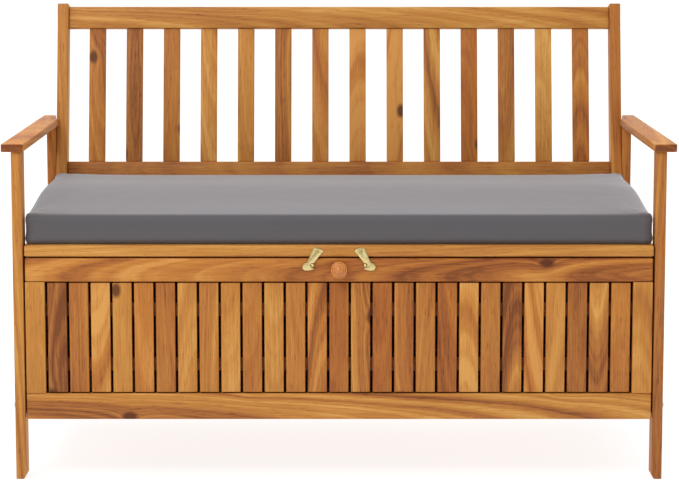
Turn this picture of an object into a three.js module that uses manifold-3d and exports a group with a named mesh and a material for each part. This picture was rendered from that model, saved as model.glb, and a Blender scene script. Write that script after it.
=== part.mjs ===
// Garden storage bench: a hardwood bench whose base is a slatted storage box behind a drop-front door.
// Millimetres. +X runs along the bench, -Y is the front, +Z is up. The origin is on the ground, in the
// middle of the bench's outer box. Depths (d) are counted backwards from the front legs' front faces and
// heights (h) upwards from the ground.
import * as THREE from "three";
import { mergeVertices } from "three/addons/utils/BufferGeometryUtils.js";
import Module from "manifold-3d";

const wasm = await Module();
wasm.setup();

// ---- driving dimensions -------------------------------------------------------------------------------
const ARM_OUTER_X = 600; // half the overall width
const ARM_WIDTH = 40;
const ARM_THICKNESS = 14.5;
const ARM_TOP = 608.5;
const ARM_OVERHANG = 5; // in front of the legs
const ARM_REAR_END = 615;
const ARM_NOTCH_DEPTH = 531.5; // where the notch for the leaning post starts
const ARM_NOTCH_WIDTH = 15;

const LEG_OUTER_X = 583;
const LEG_THICKNESS = 18; // along X
const LEG_WIDTH = 43; // along Y
const REAR_LEG_DEPTH = 519;
const FOOT_CHAMFER_X = 4;
const FOOT_CHAMFER_Z = 7;

const RAIL_THICKNESS = 18;
const RAIL_HEIGHT = 43.5;
const SLAT_THICKNESS = 10;
const BATTEN_THICKNESS = 6;
const BATTEN_HEIGHT = 25;
const FIT = 0.25; // glued or screwed faces are drawn this far apart

const SEAT_TOP = 426;
const SEAT_BOARD_THICKNESS = 20;
const SEAT_HALF_LENGTH = 563;
const SEAT_FRONT_WIDTH = 60;
const SEAT_SLAT_COUNT = 6;
const SEAT_SLAT_WIDTH = 55;
const SEAT_END_DEPTH = 484;
const SEAT_REAR_START = 492;

const BOX_BOTTOM = 110;
const BOX_BACK_DEPTH = 535;
const FLOOR_TOP = 136;
const FLOOR_BOARD_COUNT = 17;
const FLOOR_BOARD_WIDTH = 60;

const DOOR_HALF_WIDTH = 562;
const DOOR_FRONT_DEPTH = 2;
const DOOR_TOP = 403;
const DOOR_TOP_RAIL_HEIGHT = 42.5;
const DOOR_BOTTOM_RAIL_HEIGHT = 47;
const DOOR_STILE_WIDTH = 35;
const DOOR_SLAT_COUNT = 27;
const DOOR_SLAT_GAP = 3.9;
const DOOR_SLAT_RECESS = 2.5;
const SLAT_END_GAP = 2; // shadow gap at the ends of the box slats

const BACK_LEAN = THREE.MathUtils.degToRad(11.7);
const BACK_FOOT_HEIGHT = 406.5; // where the leaning posts start
const BACK_FOOT_DEPTH = 494; // their front face there
const POST_OUTER_X = 561;
const POST_THICKNESS = 18;
const POST_WIDTH = 38;
const POST_LENGTH = 438.5;
const BACK_RAIL_INSET = 8;
const BACK_TOP_RAIL_START = 389.5;
const BACK_BOTTOM_RAIL_START = 77;
const BACK_SLAT_COUNT = 14;
const BACK_SLAT_WIDTH = 33;
const BACK_SLAT_THICKNESS = 12;

const CUSHION_HALF_LENGTH = 558;
const CUSHION_FRONT_DEPTH = 10;
const CUSHION_REAR_DEPTH = 491;
const CUSHION_THICKNESS = 76;
const CUSHION_CORNER = 22;
const CUSHION_EDGE = 12;

const KNOB_RADIUS = 15.5;
const KNOB_LENGTH = 27;
const KNOB_HEIGHT = 383.5;

const HOOK_PIVOT_X = 39;
const HOOK_PIVOT_HEIGHT = 416.5;
const HOOK_THICKNESS = 1.8;
const HOOK_CLEARANCE = 0.4; // in front of the seat board
const HOOK_HOLE_RADIUS = 2.4;
const PEG_OFFSET_X = 8; // outwards from the pivot
const PEG_OFFSET_Z = -25.6;
const NOTCH_RADIUS = 3.9;
const SCREW_SHANK_RADIUS = 2;
const SCREW_HEAD_RADIUS = 3.6;
const PEG_SHANK_RADIUS = 1.3;
const PEG_HEAD_RADIUS = 2.9;
const HEAD_HEIGHT = 2;

const HINGE_AXIS_DEPTH = 23.2;
const HINGE_AXIS_HEIGHT = 112.9;
const HINGE_X = 400;
const HINGE_LENGTH = 60;
const HINGE_PLATE = 1.5;
const KNUCKLE_RADIUS = 3;
const PIN_RADIUS = 1.3;
const PIN_BORE_RADIUS = 1.6;

const BOLT_HEAD_RADIUS = 7;
const BOLT_HEAD_HEIGHT = 4;
const BOLT_HEIGHT = 133;

// ---- values that follow from them ---------------------------------------------------------------------
const LEG_INNER_X = LEG_OUTER_X - LEG_THICKNESS;
const LEG_TOP = ARM_TOP - ARM_THICKNESS - FIT;
const POST_REAR_DEPTH =
  BACK_FOOT_DEPTH + POST_LENGTH * Math.sin(BACK_LEAN) + POST_WIDTH * Math.cos(BACK_LEAN);
const KNOB_TIP_DEPTH = DOOR_FRONT_DEPTH - KNOB_LENGTH;
// The zero of depth, rounded to a half millimetre so that square faces stay exact.
const LEG_FRONT_Y = -Math.round(POST_REAR_DEPTH + KNOB_TIP_DEPTH) / 2;
const SEAT_BOTTOM = SEAT_TOP - SEAT_BOARD_THICKNESS;
const DOOR_BACK_DEPTH = DOOR_FRONT_DEPTH + RAIL_THICKNESS;
const DOOR_SLAT_SPACE = DOOR_HALF_WIDTH - DOOR_STILE_WIDTH;
const SIDES = [["left", -1], ["right", 1]];

// ---- finishes -----------------------------------------------------------------------------------------
const acacia = new THREE.MeshStandardMaterial({ color: 0xb97f45, roughness: 0.55, metalness: 0 });
const knobWood = new THREE.MeshStandardMaterial({ color: 0xc08048, roughness: 0.35, metalness: 0 });
const polyester = new THREE.MeshStandardMaterial({ color: 0x8a898d, roughness: 0.9, metalness: 0 });
const brass = new THREE.MeshStandardMaterial({ color: 0xd8c48a, roughness: 0.35, metalness: 1 });
const zincSteel = new THREE.MeshStandardMaterial({ color: 0xa9a9a6, roughness: 0.4, metalness: 1 });

const bench = new THREE.Group();

// ---- making solids ------------------------------------------------------------------------------------
const span = (a, b) => [Math.min(a, b), Math.max(a, b)];

// A box geometry in place, from spans of x, of depth and of height.
function boxGeometry(x, d, h) {
  const size = [x, d, h].map(([low, high]) => high - low);
  const middle = [x, d, h].map(([low, high]) => (low + high) / 2);
  return new THREE.BoxGeometry(...size).translate(middle[0], LEG_FRONT_Y + middle[1], middle[2]);
}

function addMesh(name, geometry, material, group = bench) {
  const mesh = new THREE.Mesh(geometry, material);
  mesh.name = name;
  group.add(mesh);
  return mesh;
}

function board(name, x, d, h, material = acacia) {
  addMesh(name, boxGeometry(x, d, h), material);
}

function toSolid(geometry) {
  const bare = geometry.clone().deleteAttribute("normal").deleteAttribute("uv");
  const merged = mergeVertices(bare, 1e-4);
  const triVerts = merged.index.array;
  const vertProperties = merged.attributes.position.array;
  return new wasm.Manifold(
    new wasm.Mesh({ numProp: 3, vertProperties, triVerts: new Uint32Array(triVerts) }),
  );
}

function toGeometry(solid) {
  const { vertProperties, triVerts } = solid.getMesh();
  return new THREE.BufferGeometry()
    .setAttribute("position", new THREE.BufferAttribute(vertProperties, 3))
    .setIndex(new THREE.BufferAttribute(triVerts, 1));
}

const join = (geometries) => toGeometry(geometries.map(toSolid).reduce((a, b) => a.add(b)));
const cut = (geometry, tool) => toGeometry(toSolid(geometry).subtract(toSolid(tool)));

// A closed outline in x and z, thickened backwards from its front face.
function plateGeometry(shape, frontDepth, thickness, curveSegments = 12) {
  return new THREE.ExtrudeGeometry(shape, { depth: thickness, bevelEnabled: false, curveSegments })
    .rotateX(Math.PI / 2)
    .translate(0, LEG_FRONT_Y + frontDepth + thickness, 0);
}

// A turned shape whose axis runs forwards (towards -Y) from a point on a face.
function turnedForward(profile, x, d, h, segments) {
  const points = profile.map(([radius, along]) => new THREE.Vector2(radius, along));
  return new THREE.LatheGeometry(points, segments)
    .rotateX(Math.PI)
    .translate(x, LEG_FRONT_Y + d, h);
}

// The spans of equal slats side by side, with a gap before, between and after them.
function slatSpans(low, high, count, gap) {
  const width = (high - low - gap * (count + 1)) / count;
  return Array.from({ length: count }, (_, i) => {
    const start = low + gap + i * (width + gap);
    return [start, start + width];
  });
}

// ---- legs, arms and side frames -----------------------------------------------------------------------
function legGeometry(side, d) {
  const outline = new THREE.Shape([
    new THREE.Vector2(side * LEG_OUTER_X, 0),
    new THREE.Vector2(side * LEG_OUTER_X, LEG_TOP),
    new THREE.Vector2(side * LEG_INNER_X, LEG_TOP),
    new THREE.Vector2(side * LEG_INNER_X, FOOT_CHAMFER_Z),
    new THREE.Vector2(side * (LEG_INNER_X + FOOT_CHAMFER_X), 0),
  ]);
  return plateGeometry(outline, d, LEG_WIDTH);
}

function armGeometry(side) {
  const inner = ARM_OUTER_X - ARM_WIDTH;
  const plan = [
    [ARM_OUTER_X, -ARM_OVERHANG],
    [ARM_OUTER_X, ARM_REAR_END],
    [inner + ARM_NOTCH_WIDTH, ARM_REAR_END],
    [inner + ARM_NOTCH_WIDTH, ARM_NOTCH_DEPTH],
    [inner, ARM_NOTCH_DEPTH],
    [inner, -ARM_OVERHANG],
  ].map(([x, d]) => new THREE.Vector2(side * x, LEG_FRONT_Y + d));
  return new THREE.ExtrudeGeometry(new THREE.Shape(plan), { depth: ARM_THICKNESS, bevelEnabled: false })
    .translate(0, 0, ARM_TOP - ARM_THICKNESS);
}

function addSideFrames() {
  const betweenLegs = [LEG_WIDTH + FIT, REAR_LEG_DEPTH - FIT];
  const topRail = [SEAT_BOTTOM - RAIL_HEIGHT, SEAT_BOTTOM];
  const bottomRail = [BOX_BOTTOM, BOX_BOTTOM + RAIL_HEIGHT];
  for (const [side, s] of SIDES) {
    addMesh(`front_leg_${side}`, legGeometry(s, 0), acacia);
    addMesh(`rear_leg_${side}`, legGeometry(s, REAR_LEG_DEPTH), acacia);
    addMesh(`armrest_${side}`, armGeometry(s), acacia);
    const railX = span(s * LEG_INNER_X, s * LEG_OUTER_X);
    board(`side_top_rail_${side}`, railX, betweenLegs, topRail);
    board(`side_bottom_rail_${side}`, railX, betweenLegs, bottomRail);
    const slatX = span(s * (LEG_INNER_X + 4), s * (LEG_INNER_X + 4 + SLAT_THICKNESS));
    const battenX = span(s * (LEG_INNER_X - 1.5), s * (LEG_INNER_X + 4.5));
    const slatH = [bottomRail[1] + SLAT_END_GAP, topRail[0] - SLAT_END_GAP];
    const slats = slatSpans(...betweenLegs, 12, DOOR_SLAT_GAP).map((d) => boxGeometry(slatX, d, slatH));
    const battens = battenSpans(slatH).map((h) =>
      boxGeometry(battenX, [LEG_WIDTH + 2, REAR_LEG_DEPTH - 2], h),
    );
    addMesh(`side_slats_${side}`, join([...slats, ...battens]), acacia);
    const bearerX = span(s * (LEG_INNER_X - 2 - RAIL_THICKNESS), s * (LEG_INNER_X - 2));
    board(`seat_bearer_${side}`, bearerX, [LEG_WIDTH + 2, REAR_LEG_DEPTH], [topRail[0], SEAT_BOTTOM - FIT]);
    const bolt = turnedAlongX(domeProfile(BOLT_HEAD_RADIUS, BOLT_HEAD_HEIGHT), s);
    addMesh(
      `leg_bolt_${side}`,
      bolt.translate(s * (LEG_OUTER_X + FIT), LEG_FRONT_Y + LEG_WIDTH / 2, BOLT_HEIGHT),
      zincSteel,
    );
  }
}

// The heights of the two battens that hold a panel of upright slats.
function battenSpans([low, high]) {
  const quarter = (high - low) / 4;
  return [low + quarter, high - quarter].map((h) => [h - BATTEN_HEIGHT / 2, h + BATTEN_HEIGHT / 2]);
}

// A shallow dome, from its flat face up.
function domeProfile(radius, height) {
  const steps = 6;
  const arc = Array.from({ length: steps + 1 }, (_, i) => {
    const a = ((Math.PI / 2) * i) / steps;
    return [radius * Math.cos(a), height * Math.sin(a)];
  });
  arc[steps][0] = 0;
  return [[0, 0], ...arc];
}

function turnedAlongX(profile, side) {
  const points = profile.map(([radius, along]) => new THREE.Vector2(radius, along));
  return new THREE.LatheGeometry(points, 20).rotateZ((-side * Math.PI) / 2);
}

// ---- seat ---------------------------------------------------------------------------------------------
function addSeat() {
  const boardH = [SEAT_BOTTOM, SEAT_TOP];
  const length = [-SEAT_HALF_LENGTH, SEAT_HALF_LENGTH];
  board("seat_front_board", length, [0, SEAT_FRONT_WIDTH], boardH);
  const slatSpace = SEAT_END_DEPTH - SEAT_FRONT_WIDTH - SEAT_SLAT_COUNT * SEAT_SLAT_WIDTH;
  const gap = slatSpace / SEAT_SLAT_COUNT;
  const slats = Array.from({ length: SEAT_SLAT_COUNT }, (_, i) => {
    const start = SEAT_FRONT_WIDTH + gap + i * (SEAT_SLAT_WIDTH + gap);
    return boxGeometry(length, [start, start + SEAT_SLAT_WIDTH], boardH);
  });
  const firstSlat = SEAT_FRONT_WIDTH + gap;
  const batten = boxGeometry([-20, 20], [firstSlat, SEAT_END_DEPTH], [SEAT_BOTTOM - 18, SEAT_BOTTOM + 1]);
  addMesh("seat_slats", join([...slats, batten]), acacia);
  // The last board fills the space between the leaning posts.
  const betweenPosts = POST_OUTER_X - POST_THICKNESS - FIT;
  board("seat_rear_board", [-betweenPosts, betweenPosts], [SEAT_REAR_START, BOX_BACK_DEPTH - FIT], boardH);
}

// ---- storage box: back, floor -------------------------------------------------------------------------
function addBox() {
  const x = [-LEG_INNER_X + FIT, LEG_INNER_X - FIT];
  const backD = [BOX_BACK_DEPTH, BOX_BACK_DEPTH + RAIL_THICKNESS];
  const topH = [SEAT_BOTTOM - RAIL_HEIGHT, SEAT_BOTTOM];
  const bottomH = [BOX_BOTTOM, BOX_BOTTOM + RAIL_HEIGHT];
  board("box_back_top_rail", x, backD, topH);
  board("box_back_bottom_rail", x, backD, bottomH);
  const slatH = [bottomH[1] + SLAT_END_GAP, topH[0] - SLAT_END_GAP];
  const slatD = [BOX_BACK_DEPTH + 4, BOX_BACK_DEPTH + 4 + SLAT_THICKNESS];
  const slats = slatSpans(...x, 29, DOOR_SLAT_GAP).map((s) => boxGeometry(s, slatD, slatH));
  const battens = battenSpans(slatH).map((h) =>
    boxGeometry([x[0] + 2, x[1] - 2], [slatD[0] - BATTEN_THICKNESS + 0.5, slatD[0] + 0.5], h),
  );
  addMesh("box_back_slats", join([...slats, ...battens]), acacia);

  const railD = [DOOR_BACK_DEPTH + 2.5, DOOR_BACK_DEPTH + 2.5 + RAIL_THICKNESS];
  board("floor_front_rail", x, railD, [BOX_BOTTOM + 6, BOX_BOTTOM + RAIL_HEIGHT]);
  const floorD = [railD[1] + 1, BOX_BACK_DEPTH - 1];
  const boardGap = (2 * LEG_INNER_X - 8 - FLOOR_BOARD_COUNT * FLOOR_BOARD_WIDTH) / (FLOOR_BOARD_COUNT + 1);
  const edge = LEG_INNER_X - 4;
  const boards = slatSpans(-edge, edge, FLOOR_BOARD_COUNT, boardGap).map((s) =>
    boxGeometry(s, floorD, [FLOOR_TOP - SLAT_THICKNESS, FLOOR_TOP]),
  );
  const firstBoard = -edge + boardGap;
  const floorBattens = [0.06, 0.5, 0.94].map((share) => {
    const middle = floorD[0] + share * (floorD[1] - floorD[0]);
    const battenH = [FLOOR_TOP - SLAT_THICKNESS - 12, FLOOR_TOP - SLAT_THICKNESS + 1];
    return boxGeometry([firstBoard, -firstBoard], [middle - 14, middle + 14], battenH);
  });
  addMesh("floor_boards", join([...boards, ...floorBattens]), acacia);
}

// ---- leaning backrest ---------------------------------------------------------------------------------
// In the backrest's own group y is 0 on the posts' front faces and z runs up the slope.
function addBackrest() {
  const backrest = new THREE.Group();
  backrest.position.set(0, LEG_FRONT_Y + BACK_FOOT_DEPTH, BACK_FOOT_HEIGHT);
  backrest.rotation.x = -BACK_LEAN;
  bench.add(backrest);
  const piece = (name, x, y, z) => {
    const geometry = new THREE.BoxGeometry(x[1] - x[0], y[1] - y[0], z[1] - z[0]);
    const mesh = addMesh(name, geometry, acacia, backrest);
    mesh.position.set((x[0] + x[1]) / 2, (y[0] + y[1]) / 2, (z[0] + z[1]) / 2);
  };

  // The posts' feet are cut level where they stand on the seat bearers.
  const side = new THREE.Shape([
    new THREE.Vector2(0, 0),
    new THREE.Vector2(POST_WIDTH, POST_WIDTH * Math.tan(BACK_LEAN)),
    new THREE.Vector2(POST_WIDTH, POST_LENGTH),
    new THREE.Vector2(0, POST_LENGTH),
  ]);
  for (const [name, s] of SIDES) {
    const post = new THREE.ExtrudeGeometry(side, { depth: POST_THICKNESS, bevelEnabled: false })
      .rotateX(Math.PI / 2)
      .rotateZ(Math.PI / 2)
      .translate(s > 0 ? POST_OUTER_X - POST_THICKNESS : -POST_OUTER_X, 0, 0);
    addMesh(`back_post_${name}`, post, acacia, backrest);
  }

  const inner = POST_OUTER_X - POST_THICKNESS;
  const railX = [-inner + FIT, inner - FIT];
  const railY = [BACK_RAIL_INSET, BACK_RAIL_INSET + RAIL_THICKNESS];
  const topZ = [BACK_TOP_RAIL_START, BACK_TOP_RAIL_START + RAIL_HEIGHT];
  const bottomZ = [BACK_BOTTOM_RAIL_START, BACK_BOTTOM_RAIL_START + RAIL_HEIGHT];
  piece("back_top_rail", railX, railY, topZ);
  piece("back_bottom_rail", railX, railY, bottomZ);
  const inset = (RAIL_THICKNESS - BACK_SLAT_THICKNESS) / 2;
  const slatY = [railY[0] + inset, railY[1] - inset];
  const gap = (2 * inner - BACK_SLAT_COUNT * BACK_SLAT_WIDTH) / (BACK_SLAT_COUNT + 1);
  slatSpans(-inner, inner, BACK_SLAT_COUNT, gap).forEach((x, i) => {
    const number = String(i + 1).padStart(2, "0");
    piece(`back_slat_${number}`, x, slatY, [bottomZ[1] + FIT, topZ[0] - FIT]);
  });
}

// ---- drop-front door ----------------------------------------------------------------------------------
function addDoor() {
  const x = [-DOOR_HALF_WIDTH, DOOR_HALF_WIDTH];
  const d = [DOOR_FRONT_DEPTH, DOOR_BACK_DEPTH];
  const topH = [DOOR_TOP - DOOR_TOP_RAIL_HEIGHT, DOOR_TOP];
  const bottomH = [BOX_BOTTOM, BOX_BOTTOM + DOOR_BOTTOM_RAIL_HEIGHT];
  board("door_top_rail", x, d, topH);
  board("door_bottom_rail", x, d, bottomH);
  for (const [side, s] of SIDES) {
    const stileX = span(s * DOOR_SLAT_SPACE, s * DOOR_HALF_WIDTH);
    board(`door_stile_${side}`, stileX, d, [bottomH[1] + FIT, topH[0] - FIT]);
  }
  const slatD = [DOOR_FRONT_DEPTH + DOOR_SLAT_RECESS, DOOR_FRONT_DEPTH + DOOR_SLAT_RECESS + SLAT_THICKNESS];
  const slatH = [bottomH[1] + SLAT_END_GAP, topH[0] - SLAT_END_GAP];
  const slats = slatSpans(-DOOR_SLAT_SPACE, DOOR_SLAT_SPACE, DOOR_SLAT_COUNT, DOOR_SLAT_GAP).map((s) =>
    boxGeometry(s, slatD, slatH),
  );
  const battens = battenSpans(slatH).map((h) =>
    boxGeometry([-DOOR_SLAT_SPACE + FIT, DOOR_SLAT_SPACE - FIT], [slatD[1] - 0.5, DOOR_BACK_DEPTH], h),
  );
  addMesh("door_slats", join([...slats, ...battens]), acacia);

  const knobProfile = [
    [0, FIT], [7.5, FIT], [7.5, 3], [6.2, 6], [6.6, 9], [10.5, 11.5], [14.2, 13.6], [KNOB_RADIUS, 16.5],
    [KNOB_RADIUS, 19], [14.4, 22], [11.6, 24.6], [7, 26.3], [0, KNOB_LENGTH],
  ];
  addMesh("knob", turnedForward(knobProfile, 0, DOOR_FRONT_DEPTH, KNOB_HEIGHT, 40), knobWood);
}

// ---- latch hooks --------------------------------------------------------------------------------------
// A round-headed screw: a shank from its face and a domed head in front of the hook.
function screwProfile(shankRadius, headRadius, headStart) {
  return [
    [0, FIT], [shankRadius, FIT], [shankRadius, headStart], [headRadius, headStart],
    [headRadius * 0.92, headStart + HEAD_HEIGHT * 0.5], [headRadius * 0.6, headStart + HEAD_HEIGHT * 0.88],
    [0, headStart + HEAD_HEIGHT],
  ];
}

// The hook's outline about its pivot, x outwards and z up: a plate that widens to the pivot end, a thumb
// tab on its outer side, and a tail that passes under the peg. A side of -1 mirrors it.
function hookShape(side) {
  const shape = new THREE.Shape();
  const to = (x, z) => shape.lineTo(side * x, z);
  shape.moveTo(side * 4.2, 7.6);
  to(6.6, 5.4);
  to(17.6, -20.4);
  to(19.6, -21.6);
  to(23.4, -22.6);
  to(26.2, -27.4);
  to(26.0, -31.0);
  to(23.4, -34.4);
  to(17.0, -35.2);
  to(11.0, -34.2);
  to(6.2, -32.6);
  to(6.4, -30.9);
  const start = THREE.MathUtils.degToRad(-58);
  const end = THREE.MathUtils.degToRad(112);
  const steps = 10;
  for (let i = 0; i <= steps; i++) {
    const a = start + ((end - start) * i) / steps;
    to(PEG_OFFSET_X + NOTCH_RADIUS * Math.cos(a), PEG_OFFSET_Z + NOTCH_RADIUS * Math.sin(a));
  }
  to(-10.6, -0.6);
  to(-10.8, 1.2);
  to(-9.2, 2.6);
  const hole = new THREE.Path();
  hole.absarc(0, 0, HOOK_HOLE_RADIUS, 0, 2 * Math.PI);
  shape.holes.push(hole);
  return shape;
}

function addHooks() {
  const plateDepth = -HOOK_CLEARANCE - HOOK_THICKNESS;
  const screwHeadStart = HOOK_CLEARANCE + HOOK_THICKNESS + FIT;
  for (const [side, s] of SIDES) {
    const hook = plateGeometry(hookShape(s), plateDepth, HOOK_THICKNESS)
      .translate(s * HOOK_PIVOT_X, 0, HOOK_PIVOT_HEIGHT);
    addMesh(`hook_${side}`, hook, brass);
    const screw = screwProfile(SCREW_SHANK_RADIUS, SCREW_HEAD_RADIUS, screwHeadStart);
    addMesh(
      `hook_screw_${side}`,
      turnedForward(screw, s * HOOK_PIVOT_X, 0, HOOK_PIVOT_HEIGHT, 24),
      brass,
    );
    const peg = screwProfile(PEG_SHANK_RADIUS, PEG_HEAD_RADIUS, DOOR_FRONT_DEPTH + screwHeadStart);
    const pegX = s * (HOOK_PIVOT_X + PEG_OFFSET_X);
    const pegHeight = HOOK_PIVOT_HEIGHT + PEG_OFFSET_Z;
    addMesh(`peg_${side}`, turnedForward(peg, pegX, DOOR_FRONT_DEPTH, pegHeight, 20), brass);
  }
}

// ---- butt hinges under the box floor ------------------------------------------------------------------
function cylinderAlongX(radius, x) {
  return new THREE.CylinderGeometry(radius, radius, x[1] - x[0], 24)
    .rotateZ(Math.PI / 2)
    .translate((x[0] + x[1]) / 2, LEG_FRONT_Y + HINGE_AXIS_DEPTH, HINGE_AXIS_HEIGHT);
}

function addHinges() {
  for (const [side, s] of SIDES) {
    const middle = s * HINGE_X;
    const third = HINGE_LENGTH / 6;
    const knuckle = [middle - third, middle + third];
    const leafX = [middle - HINGE_LENGTH / 2, middle + HINGE_LENGTH / 2];
    // Frame leaf: a flat plate under the floor rail, the middle knuckle and the pin.
    const plateH = [HINGE_AXIS_HEIGHT + KNUCKLE_RADIUS - HINGE_PLATE - 0.1, HINGE_AXIS_HEIGHT + KNUCKLE_RADIUS - 0.1];
    const clear = HINGE_AXIS_DEPTH + KNUCKLE_RADIUS + 0.6;
    const frameLeaf = join([
      boxGeometry(leafX, [clear, clear + 18], plateH),
      boxGeometry(knuckle, [HINGE_AXIS_DEPTH, clear + 1], plateH),
      cylinderAlongX(KNUCKLE_RADIUS, knuckle),
      cylinderAlongX(PIN_RADIUS, [leafX[0] - 0.5, leafX[1] + 0.5]),
    ]);
    addMesh(`hinge_frame_leaf_${side}`, frameLeaf, zincSteel);
    // Door leaf: a plate on the back of the door and the two outer knuckles, bored for the pin.
    const plateD = [HINGE_AXIS_DEPTH - KNUCKLE_RADIUS, HINGE_AXIS_DEPTH - KNUCKLE_RADIUS + HINGE_PLATE];
    const outer = [
      [leafX[0], knuckle[0] - 0.4],
      [knuckle[1] + 0.4, leafX[1]],
    ];
    const plateTop = HINGE_AXIS_HEIGHT + 28;
    const bridge = HINGE_AXIS_HEIGHT + KNUCKLE_RADIUS + 0.5;
    const solid = join([
      boxGeometry(leafX, plateD, [bridge, plateTop]),
      ...outer.map((x) => boxGeometry(x, plateD, [HINGE_AXIS_HEIGHT, bridge + 1])),
      ...outer.map((x) => cylinderAlongX(KNUCKLE_RADIUS, x)),
    ]);
    const bore = cylinderAlongX(PIN_BORE_RADIUS, [leafX[0] - 1, leafX[1] + 1]);
    addMesh(`hinge_door_leaf_${side}`, cut(solid, bore), zincSteel);
  }
}

// ---- seat cushion -------------------------------------------------------------------------------------
function addCushion() {
  const halfLength = CUSHION_HALF_LENGTH - CUSHION_EDGE;
  const near = CUSHION_FRONT_DEPTH + CUSHION_EDGE;
  const far = CUSHION_REAR_DEPTH - CUSHION_EDGE;
  const r = CUSHION_CORNER - CUSHION_EDGE;
  const plan = new THREE.Shape();
  const y = (d) => LEG_FRONT_Y + d;
  plan.moveTo(-halfLength + r, y(near));
  plan.lineTo(halfLength - r, y(near));
  plan.absarc(halfLength - r, y(near + r), r, -Math.PI / 2, 0);
  plan.lineTo(halfLength, y(far - r));
  plan.absarc(halfLength - r, y(far - r), r, 0, Math.PI / 2);
  plan.lineTo(-halfLength + r, y(far));
  plan.absarc(-halfLength + r, y(far - r), r, Math.PI / 2, Math.PI);
  plan.lineTo(-halfLength, y(near + r));
  plan.absarc(-halfLength + r, y(near + r), r, Math.PI, 1.5 * Math.PI);
  const geometry = new THREE.ExtrudeGeometry(plan, {
    depth: CUSHION_THICKNESS - 2 * CUSHION_EDGE,
    bevelThickness: CUSHION_EDGE,
    bevelSize: CUSHION_EDGE,
    bevelSegments: 3,
    curveSegments: 4,
  }).translate(0, 0, SEAT_TOP + FIT + CUSHION_EDGE);
  addMesh("cushion", geometry, polyester);
}

addSideFrames();
addSeat();
addBox();
addBackrest();
addDoor();
addHooks();
addHinges();
addCushion();

export default bench;
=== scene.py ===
# %% [markdown]
# # A garden storage bench
# The bench is oiled acacia: arms, a leaning slatted back and a seat over a slatted storage box. A
# drop-front door closes the box, two brass hooks hold it, and a loose grey cushion lies on the seat.
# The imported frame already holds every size, joint and place, so this lesson only gives the pieces
# their real edges, surfaces and softness, and each new piece rides on the frame's own body.

# %% Load the frame
import math
import random
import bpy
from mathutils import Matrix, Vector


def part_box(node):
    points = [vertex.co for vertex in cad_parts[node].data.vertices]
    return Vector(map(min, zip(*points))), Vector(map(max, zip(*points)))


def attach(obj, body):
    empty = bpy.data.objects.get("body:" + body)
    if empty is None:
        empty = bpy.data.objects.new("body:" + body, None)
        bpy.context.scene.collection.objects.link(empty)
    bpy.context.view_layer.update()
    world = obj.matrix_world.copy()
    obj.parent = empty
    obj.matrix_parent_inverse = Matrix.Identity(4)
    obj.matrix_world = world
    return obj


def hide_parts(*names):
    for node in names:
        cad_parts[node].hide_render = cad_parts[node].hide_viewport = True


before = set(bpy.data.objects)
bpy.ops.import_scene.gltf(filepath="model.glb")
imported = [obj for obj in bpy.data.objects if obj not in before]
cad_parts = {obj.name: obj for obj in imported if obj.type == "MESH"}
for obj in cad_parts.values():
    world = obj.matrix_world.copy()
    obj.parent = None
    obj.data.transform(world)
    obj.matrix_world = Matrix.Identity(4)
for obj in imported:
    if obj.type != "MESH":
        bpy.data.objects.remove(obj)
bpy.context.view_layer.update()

import zlib
from functools import partial

import bpy
import numpy as np
from mathutils import Matrix, Vector

MM = 0.001

# %% [markdown]
# ## Camera
# A bench is usually pictured from well back and a little above the arms, so that the seat, the door
# and the inside of the arms all show. A long lens from 4.2 metres keeps the legs nearly upright. The
# camera is placed by distance and height from the arms' front ends, and it looks at a point near the
# middle of the front. A very small shift centres the bench in the frame.

# %% Camera
CAMERA_DISTANCE = 4.158
CAMERA_HEIGHT = 1.007
CAMERA_SIDE = 0.001
LENS = 124.9
AIM_HEIGHT = 0.470
FRAME_SHIFT = -0.03
arms_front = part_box("armrest_left")[0].y

bpy.ops.object.camera_add(location=(CAMERA_SIDE, arms_front - CAMERA_DISTANCE, CAMERA_HEIGHT))
camera = bpy.context.active_object
camera.name = "camera"
camera.data.lens = LENS
camera.data.shift_y = FRAME_SHIFT
aim = Vector((CAMERA_SIDE, arms_front, AIM_HEIGHT))
camera.rotation_euler = (aim - camera.location).to_track_quat("-Z", "Y").to_euler()
bpy.context.scene.camera = camera
print("camera looks down by", round(90 - math.degrees(camera.rotation_euler.x), 2), "degrees")

# %% [markdown]
# ## Colours and nodes
# Colours are picked as sRGB hex values, the way a paint chart gives them, and Blender's shaders want
# them linear, so one function turns them. One more function adds a node, sets it and links it.

# %% Colours and nodes
def linear(hex_colour):
    """An sRGB hex colour such as "#B97F45" as linear red, green, blue and alpha."""
    parts = [int(hex_colour[i : i + 2], 16) / 255 for i in (1, 3, 5)]
    return (*[c / 12.92 if c <= 0.04045 else ((c + 0.055) / 1.055) ** 2.4 for c in parts], 1)


def add_node(material, kind, inputs=(), **settings):
    """Adds a node. inputs are values, sockets or nodes, in order or by name; settings are its properties."""
    tree = material.node_tree
    made = tree.nodes.new("ShaderNode" + kind)
    for name, value in settings.items():
        setattr(made, name, value)
    for socket, value in inputs.items() if isinstance(inputs, dict) else enumerate(inputs):
        if isinstance(value, bpy.types.Node):
            value = value.outputs[0]
        if isinstance(value, bpy.types.NodeSocket):
            tree.links.new(value, made.inputs[socket])
        else:
            made.inputs[socket].default_value = value
    return made


def new_material(name):
    """A material whose nodes are still to be added."""
    material = bpy.data.materials.new(name)
    material.use_nodes = True
    material.node_tree.nodes.clear()
    return material


def surface(material, inputs):
    """Ends a material with its shader and its output."""
    add_node(material, "OutputMaterial", {"Surface": add_node(material, "BsdfPrincipled", inputs)})
    return material


print("half grey is", [round(c, 3) for c in linear("#BCBCBC")[:3]], "in linear light")

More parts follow.
